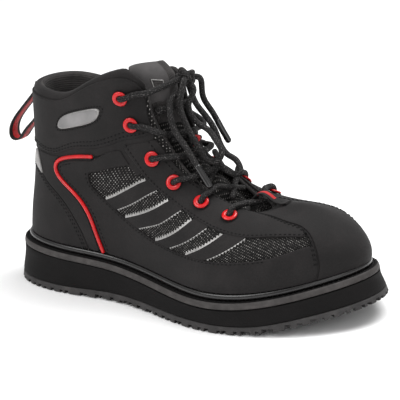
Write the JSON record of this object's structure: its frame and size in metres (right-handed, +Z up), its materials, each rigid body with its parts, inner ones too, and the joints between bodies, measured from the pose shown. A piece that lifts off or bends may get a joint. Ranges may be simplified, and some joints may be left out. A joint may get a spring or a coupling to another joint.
{
  "type": "wading boot",
  "caption": "Ankle-high lace-up wading boot with a thick flared sole, padded collar, toe cap, mesh windows, side straps and a heel pull loop.",
  "frame": {"origin": "on the floor under the middle of the heel, on a heel lug's flat face", "axes": "+X to the toe, +Y to the inner (medial) side, +Z up"},
  "size_m": [0.3191, 0.1263, 0.1766],
  "materials": {
    "nubuck": "brushed, matt",
    "mesh_cloth": "open mesh with light flecks",
    "lining": "padded textile",
    "foam": "moulded foam, matt",
    "grey_rubber": "textured, matt",
    "bead_rubber": "glossy",
    "red_gloss": "glossy",
    "silver": "smooth",
    "webbing": "woven",
    "lace_cord": "braided cord with light flecks"
  },
  "bodies": {
    "root": {"back_stay": "nubuck", "badge_inner": "silver", "badge_outer": "silver", "band": "grey_rubber", "bow_loop_inner": "lace_cord", "bow_loop_outer": "lace_cord", "collar_panel_inner": "nubuck", "collar_panel_outer": "nubuck", "counter": "nubuck", "eyelet_inner_1": "red_gloss", "eyelet_inner_2": "red_gloss", "eyelet_inner_3": "red_gloss", "eyelet_inner_4": "red_gloss", "eyelet_inner_5": "red_gloss", "eyelet_inner_6": "red_gloss", "eyelet_outer_1": "red_gloss", "eyelet_outer_2": "red_gloss", "eyelet_outer_3": "red_gloss", "eyelet_outer_4": "red_gloss", "eyelet_outer_5": "red_gloss", "eyelet_outer_6": "red_gloss", "eyestay_inner": "nubuck", "eyestay_outer": "nubuck", "footbed": "lining", "heel_flash_inner": "silver", "heel_flash_outer": "silver", "heel_wing_inner": "nubuck", "heel_wing_outer": "nubuck", "lace_bar": "lace_cord", "lace_crossing_1": "lace_cord", "lace_crossing_2": "lace_cord", "lace_crossing_3": "lace_cord", "lace_crossing_4": "lace_cord", "lace_crossing_5": "lace_cord", "lace_end_inner": "lace_cord", "lace_end_outer": "lace_cord", "lace_knot": "lace_cord", "midsole": "foam", "outsole": "grey_rubber", "piping_inner": "red_gloss", "piping_outer": "red_gloss", "pull_loop": "webbing", "quarter_inner": "nubuck", "quarter_outer": "nubuck", "strap_1_inner": "nubuck", "strap_1_outer": "nubuck", "strap_2_inner": "nubuck", "strap_2_outer": "nubuck", "strap_3_inner": "nubuck", "strap_3_outer": "nubuck", "strap_4_inner": "nubuck", "strap_4_outer": "nubuck", "throat_keeper": "webbing", "toe_cap": "nubuck", "tongue": "lining", "tongue_keeper": "webbing", "upper": "mesh_cloth", "welt_bead": "bead_rubber"}
  },
  "joints": []
}
